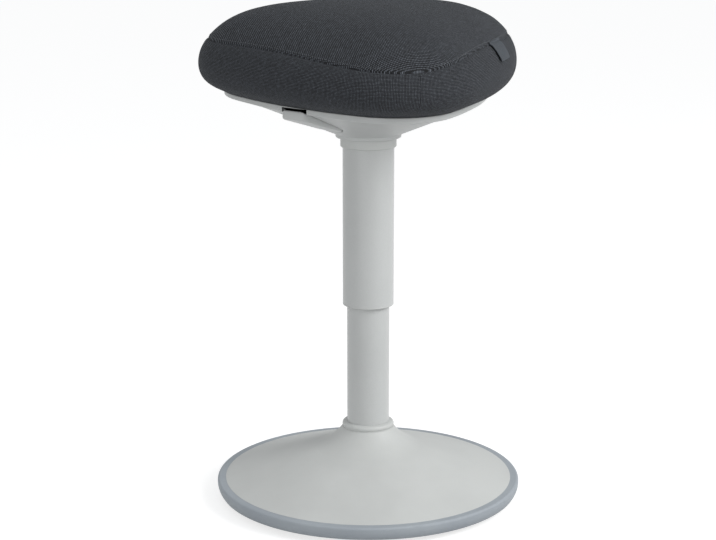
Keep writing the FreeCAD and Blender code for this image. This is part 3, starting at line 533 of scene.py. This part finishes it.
def swollenCushion():
    # closed drawn-in form, voxel remesh, then cloth under pressure with the seam and the rim held
    shape = cushionShape
    columns = shape["formColumns"]
    rows = len(shape["levels"]) * shape["rowsPerLevel"]
    top = len(shape["levels"]) - 1
    start = shape["drawnIn"]

    def place(column, row):
        angle = 360.0 * column / columns
        if row == 0:
            return Vector((0, 0, rimLevel(0.0)))
        return cushionPoint(angle, top * (row - 1) / (rows - 1), start)

    mesh = wrapGrid(columns, rows, place)[0]
    outwardFaces(mesh)
    form = newPiece("cushionForm", mesh, "seat_lift")
    byModifier(form, "REMESH", mode="VOXEL", voxel_size=shape["voxel"], use_smooth_shade=True)
    points = np.array([tuple(v.co) for v in form.data.vertices])
    held = form.vertex_groups.new(name="held")
    for index, spot in enumerate(points):
        angle = math.degrees(math.atan2(spot[0], -spot[1]))
        far = math.hypot(spot[0], spot[1])
        outside = far > planReach(angle, shape["heldInset"])
        bySeam = outside and abs(spot[2] - seamHeight(angle)) < shape["held"]
        if bySeam or spot[2] < rimLevel(spot[1]) + shape["held"]:
            held.add([index], 1.0, "REPLACE")
    cloth = form.modifiers.new("Swell", "CLOTH")
    cloth.settings.use_pressure = True
    cloth.settings.uniform_pressure_force = shape["pressure"]
    cloth.settings.effector_weights.gravity = 0
    cloth.settings.vertex_group_mass = "held"
    scene = bpy.context.scene
    for number in range(1, shape["frames"] + 1):
        scene.frame_set(number)
    graph = bpy.context.evaluated_depsgraph_get()
    swollen = form.evaluated_get(graph).data
    moved = np.array([tuple(v.co) for v in swollen.vertices])
    scene.frame_set(1)
    form.modifiers.clear()
    shift = moved - points
    length = np.linalg.norm(shift, axis=1, keepdims=True)
    shift *= np.minimum(1.0, shape["cap"] / np.maximum(length, 1e-9))
    for vertex, spot in zip(form.data.vertices, points + shift):
        vertex.co = Vector(spot)
    print("cushion swelled by up to", round(1000 * float(length.max()), 1), "mm before the cap")
    return form


def swollenSurface():
    # the swollen form, smoothed, as a surface that the cushion's rows are laid on
    form = swollenCushion()
    mesh = bmesh.new()
    mesh.from_mesh(form.data)
    bmesh.ops.smooth_vert(
        mesh, verts=mesh.verts, factor=cushionShape["smoothing"],
        use_axis_x=True, use_axis_y=True, use_axis_z=True,
    )
    surface = BVHTree.FromBMesh(mesh)
    mesh.free()
    bpy.data.objects.remove(form)
    return surface


def undersideRows():
    # inset and height of the rings below; the first is the middle point, the last follows the rim
    shape = cushionShape
    mouth = shape["boardInset"] + shape["turnedUnder"]
    pocket = shape["boardInset"] - shape["clear"]
    lip = seatPlan["rimInset"] + shape["lipInset"]
    roof = boardTop + shape["nutHeight"]
    across, down = shape["roofRound"]
    boardFoot = boardBottom - shape["clear"]
    lipFoot = boardFoot - shape["fabric"]
    return [
        (None, roof), (pocket + across, roof), (pocket, roof - down), (pocket, boardFoot),
        (mouth, boardFoot), (mouth, lipFoot), (lip, lipFoot), (lip, None),
    ]


def undersidePoint(angle, inset, height):
    if inset is None:
        return Vector((0, 0, height))
    spot = fromNose(angle, planReach(angle, inset), height or 0.0)
    foot = rimLevel(spot.y) + cushionShape["clear"]
    if height is None:
        spot.z = foot
    elif height < boardBottom - cushionShape["clear"]:
        spot.z = min(height, foot)
    return spot


def layCloth(mesh, spots, profiles, first, seamRow, distanceOf):
    # cloth lengths in metres: round the side panel, flat across the top panel
    columns = cushionShape["columns"]
    ring = [profile[0][cushionShape["waist"]] for profile in profiles]
    lengths = [0.0]
    for start, end in zip(ring, ring[1:] + ring[:1]):
        lengths.append(lengths[-1] + float(np.linalg.norm(start - end)))
    layer = mesh.loops.layers.uv.new("cloth")
    for face in mesh.faces:
        inTop = min(spots[v.index][1] for v in face.verts) >= seamRow
        for loop in face.loops:
            column, row = spots[loop.vert.index]
            if inTop or row < first:
                loop[layer].uv = loop.vert.co.xy
            else:
                loop[layer].uv = (lengths[column], distanceOf(column % columns, row))


def makeCushion():
    shape = cushionShape
    columns = shape["columns"]
    surface = swollenSurface()
    angles = [360.0 * column / columns for column in range(columns)]
    profiles = [profileAt(angle) for angle in angles]
    underside = undersideRows()
    steps = shape["grooveSteps"]
    seamBand = [-step for step in reversed(steps)] + [0.0] + list(steps)
    first = len(underside)
    bandStart = first + shape["rowsBelowSeam"]
    seamRow = bandStart + len(steps)
    bandEnd = seamRow + len(steps)
    rows = bandEnd + shape["rowsAboveSeam"]

    def distanceOf(column, row):
        along, seam = profiles[column][1:]
        if row < bandStart:
            return (seam - steps[-1]) * (row - first) / shape["rowsBelowSeam"]
        if row <= bandEnd:
            return seam + seamBand[row - bandStart]
        start = seam + steps[-1]
        return start + (along[-1] - start) * (row - bandEnd) / shape["rowsAboveSeam"]

    def place(column, row):
        if row < first:
            return undersidePoint(angles[column], *underside[row])
        track, along = profiles[column][:2]
        spot = pointOn(track, along, distanceOf(column, row))
        if surface and first < row:
            spot = surface.find_nearest(spot)[0]
        spot.z = max(spot.z, rimLevel(spot.y) + shape["clear"])
        return spot

    mesh, spots = wrapGrid(columns, rows, place)
    mesh.normal_update()
    heart = Vector((0, 0, rimTop + shape["heart"]))
    if sum(v.normal.dot(v.co - heart) for v in mesh.verts) < 0:
        bmesh.ops.reverse_faces(mesh, faces=mesh.faces)
        mesh.normal_update()
    for vertex in mesh.verts:
        away = abs(spots[vertex.index][1] - seamRow)
        if away < len(shape["grooveDepths"]):
            vertex.co -= vertex.normal * shape["grooveDepths"][away]
    layCloth(mesh, spots, profiles, first, seamRow, distanceOf)
    stitchLine = [None] * columns
    for vertex in mesh.verts:
        column, row = spots[vertex.index]
        if row == bandEnd and column < columns:
            stitchLine[column] = (vertex.co.copy(), vertex.normal.copy())
    bmesh.ops.remove_doubles(mesh, verts=mesh.verts, dist=1e-6)
    cushion = newPiece("seatCushion", mesh, "seat_lift")
    level = cushion.modifiers.new("Soften", "SUBSURF")
    level.levels = 1
    level.render_levels = 1
    dress(cushion, "woven_cover")
    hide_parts("seat_cover", "seat_foam")
    print("cushion made,", len(cushion.data.polygons), "faces")
    return cushion, stitchLine


cushion, stitchLine = makeCushion()


# Seat pan: funnel and rim from the neck outwards, pocket for the lever, sunk screw holes
panShape = {
    "columns": 192,
    "neckRadius": 0.0382,
    "neckHeight": 0.0042,
    "neckRound": 0.003,
    "slope": 0.41,
    "wall": 0.003,
    "bore": 0.0205,
    "rimNose": 0.007,
    "rimBack": 0.0036,
    "edgeRound": 0.0014,
    "topRound": 0.0008,
    "neckFillet": 0.002,
    "coneFillet": 0.012,
    "coneStop": 0.004,          # the funnel meets the rim at least this far in
    "innerStop": 0.002,
    "screwAngles": (80.0, 130.0, -150.0, -100.0),
    "screwCircle": 0.110,
    "screwRise": 0.006,
    "screwHole": 0.0043,
    "postRadius": 0.0065,
    "postSink": 0.0021,         # the posts start inside the pan's wall
    "leverAngle": 54.5,
    "slotSkin": 0.0014,
    "cutterFoot": 0.01,         # the cutters start this far under the pan
}

leverShape = {
    "root": 0.0588,
    "tip": 0.1356,
    "halfWidth": 0.0182,
    "corner": 0.008,
    "thickness": 0.0095,
    "tipDrop": 0.0138,
    "sideGap": 0.001,
    "edgeRound": 0.0024,
    "fence": 0.0009,            # the paddle's end stands up in front of the rim's slot
    "cuts": 12,
}


def panSurface(reach):
    return panBottom + panShape["neckHeight"] + (reach - panShape["neckRadius"]) * panShape["slope"]


def rimThickness(y):
    # thickest at the very nose, thinning evenly to the back
    front = seatPlan["noseDistance"] + seatPlan["cornerRadius"] - seatPlan["rimInset"]
    back = seatPlan["cornerDistance"] + seatPlan["cornerRadius"]
    share = (y + back) / (2 * back) if y > -front else 0.0
    return panShape["rimNose"] + (panShape["rimBack"] - panShape["rimNose"]) * share


def roundTo(start, corner, end, radius, steps):
    # points of a rounded corner between two straight runs in a profile
    first = (corner - start).normalized()
    second = (end - corner).normalized()
    turn = first.angle(second)
    cut = radius * math.tan(turn / 2)
    cut = min(cut, (corner - start).length * 0.45, (end - corner).length * 0.45)
    a = corner - first * cut
    b = corner + second * cut
    points = []
    for index in range(steps + 1):
        share = index / steps
        points.append((1 - share) ** 2 * a + 2 * share * (1 - share) * corner + share ** 2 * b)
    return points


def panProfile(angle):
    # (reach, height) points from the bore's bottom, out over the rim and back inside
    shape = panShape
    edge = planReach(angle, seatPlan["rimInset"])
    y = fromNose(angle, edge).y
    head = rimLevel(y)
    ledge = head - rimThickness(y)
    cone = (ledge - panSurface(shape["neckRadius"])) / shape["slope"]
    meet = min(shape["neckRadius"] + cone, edge - shape["coneStop"])
    wall = shape["wall"]
    drop = wall * math.hypot(1, shape["slope"])
    inner = edge - wall
    innerMeet = min(meet + wall / 2, inner - shape["innerStop"])
    neck = Vector((shape["neckRadius"], panSurface(shape["neckRadius"])))
    foot = Vector((shape["neckRadius"], panBottom))
    boreFoot = Vector((shape["bore"], panBottom))
    cone = Vector((meet, panSurface(meet)))
    rimFoot = Vector((edge, ledge))
    rimHead = Vector((edge, head))
    rimInside = Vector((inner, head))
    points = [boreFoot]
    points += roundTo(boreFoot, foot, neck, shape["neckRound"], 4)
    points += roundTo(foot, neck, cone, shape["neckFillet"], 3)
    for index in range(1, 10):
        points.append(neck.lerp(cone, index / 10))
    points += roundTo(neck, cone, rimFoot, shape["coneFillet"], 4)
    points += roundTo(cone, rimFoot, rimHead, shape["edgeRound"], 4)
    points += roundTo(rimFoot, rimHead, rimInside, shape["topRound"], 3)
    points.append(rimInside)
    points.append(Vector((inner, ledge + wall)))
    for index in range(1, 6):
        share = 1 - index / 6
        reach = shape["neckRadius"] + (innerMeet - shape["neckRadius"]) * share
        points.append(Vector((reach, panSurface(reach) + drop)))
    points.append(Vector((shape["bore"], panSurface(shape["neckRadius"]) + drop)))
    return points


def tongueOutline(mesh, grow, height):
    # plan of the lever from its round root to its tip, laid along +X
    shape = leverShape
    half = shape["halfWidth"] + grow
    corner = shape["corner"] + grow
    centre = shape["root"] + shape["halfWidth"]
    tip = shape["tip"] + grow
    arcs = [
        (Vector((centre, 0, height)), half, 90, 270, 16),
        (Vector((tip - corner, corner - half, height)), corner, 270, 360, 6),
        (Vector((tip - corner, half - corner, height)), corner, 0, 90, 6),
    ]
    verts = []
    for middle, radius, start, end, steps in arcs:
        for index in range(steps + 1):
            turn = math.radians(start + (end - start) * index / steps)
            spoke = Vector((math.cos(turn), math.sin(turn), 0))
            verts.append(mesh.verts.new(middle + spoke * radius))
    return mesh.faces.new(verts)


def toLever(mesh):
    turn = Matrix.Rotation(math.radians(270.0 - panShape["leverAngle"]), 4, "Z")
    bmesh.ops.transform(mesh, matrix=turn, verts=mesh.verts)


def panCutters():
    mesh = bmesh.new()
    low = panBottom - panShape["cutterFoot"]
    face = tongueOutline(mesh, leverShape["sideGap"], low)
    made = bmesh.ops.extrude_face_region(mesh, geom=[face])
    lifted = [v for v in made["geom"] if isinstance(v, bmesh.types.BMVert)]
    bmesh.ops.translate(mesh, verts=lifted, vec=up * (rimTop - panShape["slotSkin"] - low))
    toLever(mesh)
    seat = panSurface(panShape["screwCircle"]) + panShape["screwRise"]
    for angle in panShape["screwAngles"]:
        middle = fromNose(angle, panShape["screwCircle"], (low + seat) / 2)
        bmesh.ops.create_cone(
            mesh, cap_ends=True, segments=32, radius1=panShape["screwHole"], radius2=panShape["screwHole"],
            depth=seat - low, matrix=Matrix.Translation(middle),
        )
    outwardFaces(mesh)
    return newPiece("panCutters", mesh, "seat_lift", smooth=False)


def panPosts():
    mesh = bmesh.new()
    low = panSurface(panShape["screwCircle"]) + panShape["postSink"]
    for angle in panShape["screwAngles"]:
        middle = fromNose(angle, panShape["screwCircle"], (low + rimTop) / 2)
        bmesh.ops.create_cone(
            mesh, cap_ends=True, segments=32, radius1=panShape["postRadius"], radius2=panShape["postRadius"],
            depth=rimTop - low, matrix=Matrix.Translation(middle),
        )
    return newPiece("panPosts", mesh, "seat_lift", smooth=False)


def makePan():
    columns = panShape["columns"]
    profiles = [panProfile(360.0 * column / columns) for column in range(columns)]
    rows = len(profiles[0])

    def place(column, row):
        spot = profiles[column][row % rows]
        return fromNose(360.0 * column / columns, spot.x, spot.y)

    mesh = wrapGrid(columns, rows, place)[0]
    outwardFaces(mesh)
    pan = newPiece("seatPan", mesh, "seat_lift")
    posts = panPosts()
    cutters = panCutters()
    byModifier(pan, "BOOLEAN", operation="UNION", object=posts, solver="EXACT")
    byModifier(pan, "BOOLEAN", operation="DIFFERENCE", object=cutters, solver="EXACT")
    bpy.data.objects.remove(posts)
    bpy.data.objects.remove(cutters)
    pan.data.set_sharp_from_angle(angle=crease)
    dress(pan, "pan_grey")
    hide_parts("seat_pan")
    print("pan made,", len(pan.data.polygons), "faces")


makePan()


def paddleUnder(distance):
    # height of the paddle's underside: flush with the pan at its root, proud at its tip
    root = panSurface(leverShape["root"])
    tip = rimTop - leverShape["tipDrop"]
    return root + (distance - leverShape["root"]) * (tip - root) / (leverShape["tip"] - leverShape["root"])


def makePaddle():
    shape = leverShape
    mesh = bmesh.new()
    face = tongueOutline(mesh, 0.0, 0.0)
    made = bmesh.ops.extrude_face_region(mesh, geom=[face])
    lifted = [v for v in made["geom"] if isinstance(v, bmesh.types.BMVert)]
    bmesh.ops.translate(mesh, verts=lifted, vec=up * shape["thickness"])
    bmesh.ops.recalc_face_normals(mesh, faces=mesh.faces)
    rims = sharpEdges(mesh, 60)
    bevelEdges(mesh, rims, shape["edgeRound"], 4)
    for step in range(1, shape["cuts"]):
        cut = shape["root"] + (shape["tip"] - shape["root"]) * step / shape["cuts"]
        geometry = list(mesh.verts) + list(mesh.edges) + list(mesh.faces)
        bmesh.ops.bisect_plane(mesh, geom=geometry, plane_co=(cut, 0, 0), plane_no=(1, 0, 0))
    for vertex in mesh.verts:
        atEnd = vertex.co.x > shape["tip"] - shape["edgeRound"] + 0.0001
        if atEnd and vertex.co.z > shape["thickness"] / 2:
            vertex.co.z += shape["fence"]
        vertex.co.z += paddleUnder(vertex.co.x)
    toLever(mesh)
    outwardFaces(mesh)
    paddle = newPiece("leverPaddle", mesh, "lever")
    paddle.data.set_sharp_from_angle(angle=crease)
    dress(paddle, "pan_grey")
    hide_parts("lever_paddle")
    print("paddle made,", len(paddle.data.polygons), "faces")


makePaddle()


# Lip ring under the cover tube, with its outer edge rounded
lipShape = {"round": 0.0009, "height": 0.002, "gap": 0.0001, "wall": 0.002, "boreGap": 0.002, "steps": 96}


def spunPiece(name, outline, body, slot, edgeRound, steps):
    # outline of (reach, height) corners spun round the axis, then its corners rounded
    mesh = bmesh.new()
    verts = [mesh.verts.new((reach, 0, height)) for reach, height in outline]
    edges = [mesh.edges.new((a, b)) for a, b in zip(verts, verts[1:] + verts[:1])]
    bmesh.ops.spin(
        mesh, geom=verts + edges, cent=(0, 0, 0), axis=(0, 0, 1), angle=2 * math.pi, steps=steps,
        use_merge=True,
    )
    outwardFaces(mesh)
    bevelEdges(mesh, sharpEdges(mesh, 40), edgeRound, 3)
    piece = newPiece(name, mesh, body)
    piece.data.set_sharp_from_angle(angle=math.radians(50))
    dress(piece, slot)
    return piece


def makeLip():
    low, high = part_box("lip_ring")
    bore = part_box("lower_tube")[1].x + lipShape["boreGap"]
    outside = high.x
    sleeve = outside - lipShape["wall"] - lipShape["gap"]
    flange = low.z + lipShape["height"]
    outline = [
        (bore, low.z), (outside, low.z), (outside, flange),
        (sleeve, flange), (sleeve, high.z), (bore, high.z),
    ]
    lip = spunPiece("lipRing", outline, "seat_lift", "shell_grey", lipShape["round"], lipShape["steps"])
    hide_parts("lip_ring")


makeLip()
print("lip ring made")


# Label sewn into the seam: thin folded tab that lies on the cushion, its front edge lifted a little
labelShape = {
    "width": 0.042, "height": 0.025, "thickness": 0.0008, "angle": 57.5, "rise": 0.056, "lean": 36.0,
    "distance": 0.1533, "offset": 0.0007, "lift": 0.0022, "columns": 14, "rows": 22,
    "rayStart": 0.04, "freeFrom": 0.2, "freeCorner": 0.5, "edgeRound": 0.00028,
}


def makeLabel():
    shape = labelShape
    skin = bmesh.new()
    skin.from_mesh(cushion.data)
    surface = BVHTree.FromBMesh(skin)
    skin.free()
    middle = fromNose(shape["angle"], shape["distance"], rimTop + shape["rise"])
    outwards = fromNose(shape["angle"], 1.0)
    lean = math.radians(shape["lean"])
    normal = outwards * math.cos(lean) + up * math.sin(lean)
    across = up.cross(outwards)
    upwards = normal.cross(across)
    above = normal * shape["rayStart"]
    mesh = bmesh.new()
    bmesh.ops.create_grid(mesh, x_segments=shape["columns"], y_segments=shape["rows"], size=0.5)
    layer = mesh.loops.layers.uv.new("cloth")
    for face in mesh.faces:
        for loop in face.loops:
            loop[layer].uv = (loop.vert.co.x * shape["width"], loop.vert.co.y * shape["height"])
    for vertex in mesh.verts:
        u, v = vertex.co.x, vertex.co.y
        outside = middle + across * (u * shape["width"]) + upwards * (v * shape["height"]) + above
        hit = surface.ray_cast(outside, -normal)[0]
        free = (0.5 - u) * (0.5 - v) * shape["freeCorner"] + max(0.0, -u - shape["freeFrom"])
        vertex.co = (hit or outside - above) + normal * (shape["offset"] + shape["lift"] * free)
    bmesh.ops.solidify(mesh, geom=mesh.faces, thickness=-shape["thickness"])
    outwardFaces(mesh)
    bevelEdges(mesh, sharpEdges(mesh, 60), shape["edgeRound"], 2)
    label = newPiece("seatLabel", mesh, "seat_lift")
    dress(label, "woven_label")
    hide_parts("label_tab")


makeLabel()
print("label made")


# Row of stitches on the top panel beside the seam
stitchShape = {"length": 0.003, "gap": 0.0016, "thickness": 0.00042, "flatness": 0.7, "sink": 0.0001}


def makeStitches():
    shape = stitchShape
    mesh = bmesh.new()
    count = len(stitchLine)
    carried = 0.0
    for index in range(count):
        start, normal = stitchLine[index]
        end, nextNormal = stitchLine[(index + 1) % count]
        run = (end - start).length
        while carried < run:
            share = carried / run
            spot = start.lerp(end, share)
            facing = normal.lerp(nextNormal, share).normalized()
            along = (end - start).normalized()
            across = facing.cross(along).normalized()
            turn = Matrix((along, across, facing)).transposed().to_4x4()
            thick = shape["thickness"]
            size = Matrix.Diagonal((shape["length"] / 2, thick, thick * shape["flatness"], 1))
            place = Matrix.Translation(spot - facing * shape["sink"]) @ turn @ size
            bmesh.ops.create_icosphere(mesh, subdivisions=1, radius=1.0, matrix=place)
            carried += shape["length"] + shape["gap"]
        carried -= run
    stitches = newPiece("seamStitches", mesh, "seat_lift")
    dress(stitches, "stitchThread")


makeStitches()
print("stitches made")


# Floor, light and camera
def makeStage():
    look = {"size": 14.0, "floor": (0.5, 0.5, 0.5, 1), "lift": 0.7}
    mesh = bmesh.new()
    bmesh.ops.create_grid(mesh, x_segments=1, y_segments=1, size=look["size"])
    data = bpy.data.meshes.new("floor")
    mesh.to_mesh(data)
    mesh.free()
    floor = bpy.data.objects.new("floor", data)
    bpy.context.scene.collection.objects.link(floor)
    material = bpy.data.materials.new("floorWhite")
    material.use_nodes = True
    tree = material.node_tree
    shader = tree.nodes["Principled BSDF"]
    shader.inputs["Base Color"].default_value = look["floor"]
    shader.inputs["Roughness"].default_value = 1.0
    shader.inputs["Specular IOR Level"].default_value = 0.0
    path = addNode(tree, "ShaderNodeLightPath")
    seen = calc(tree, "MAXIMUM", path.outputs["Is Camera Ray"], path.outputs["Is Glossy Ray"])
    tree.links.new(calc(tree, "MULTIPLY", seen, look["lift"]), shader.inputs["Emission Strength"])
    shader.inputs["Emission Color"].default_value = (1, 1, 1, 1)
    data.materials.append(material)


def makeWorld():
    look = {"ambient": 0.54, "tint": (0.97, 0.985, 1.0, 1)}
    world = bpy.data.worlds.new("studio")
    bpy.context.scene.world = world
    world.use_nodes = True
    tree = world.node_tree
    background = tree.nodes["Background"]
    background.inputs["Color"].default_value = look["tint"]
    path = addNode(tree, "ShaderNodeLightPath")
    values = {"Value": path.outputs["Is Camera Ray"], "To Min": look["ambient"], "To Max": 1.0}
    strength = addNode(tree, "ShaderNodeMapRange", values).outputs["Result"]
    tree.links.new(strength, background.inputs["Strength"])


lampLooks = {
    "keyLamp": {"azimuth": 68.0, "elevation": 34.0, "distance": 2.6, "size": 1.6, "power": 42.0},
    "fillLamp": {"azimuth": -28.0, "elevation": 6.0, "distance": 2.6, "size": 1.6, "power": 12.5},
}
aimPoint = Vector((-0.0116, 0.0034, 0.2743))
cameraPlace = Vector((-0.5882, -1.9856, 0.7687))


def makeLamps():
    # azimuth is counted from the camera's side towards its right
    away = cameraPlace - aimPoint
    base = math.atan2(away.y, away.x)
    for name, look in lampLooks.items():
        turn = base + math.radians(look["azimuth"])
        tall = math.radians(look["elevation"])
        back = Vector((math.cos(turn) * math.cos(tall), math.sin(turn) * math.cos(tall), math.sin(tall)))
        light = bpy.data.lights.new(name, "AREA")
        light.shape = "DISK"
        light.size = look["size"]
        light.energy = look["power"]
        lamp = bpy.data.objects.new(name, light)
        lamp.location = aimPoint + back * look["distance"]
        lamp.rotation_euler = back.to_track_quat("Z", "Y").to_euler()
        bpy.context.scene.collection.objects.link(lamp)


def makeCamera():
    look = {"lens": 91.0, "sensor": 36.0}
    data = bpy.data.cameras.new("camera")
    data.lens = look["lens"]
    data.sensor_width = look["sensor"]
    data.clip_end = 60
    camera = bpy.data.objects.new("camera", data)
    camera.location = cameraPlace
    camera.rotation_euler = (aimPoint - cameraPlace).to_track_quat("-Z", "Y").to_euler()
    bpy.context.scene.collection.objects.link(camera)
    bpy.context.scene.camera = camera


makeStage()
makeWorld()
makeLamps()
makeCamera()
bpy.context.scene.view_settings.view_transform = "Standard"
print("stage, lamps and camera made")
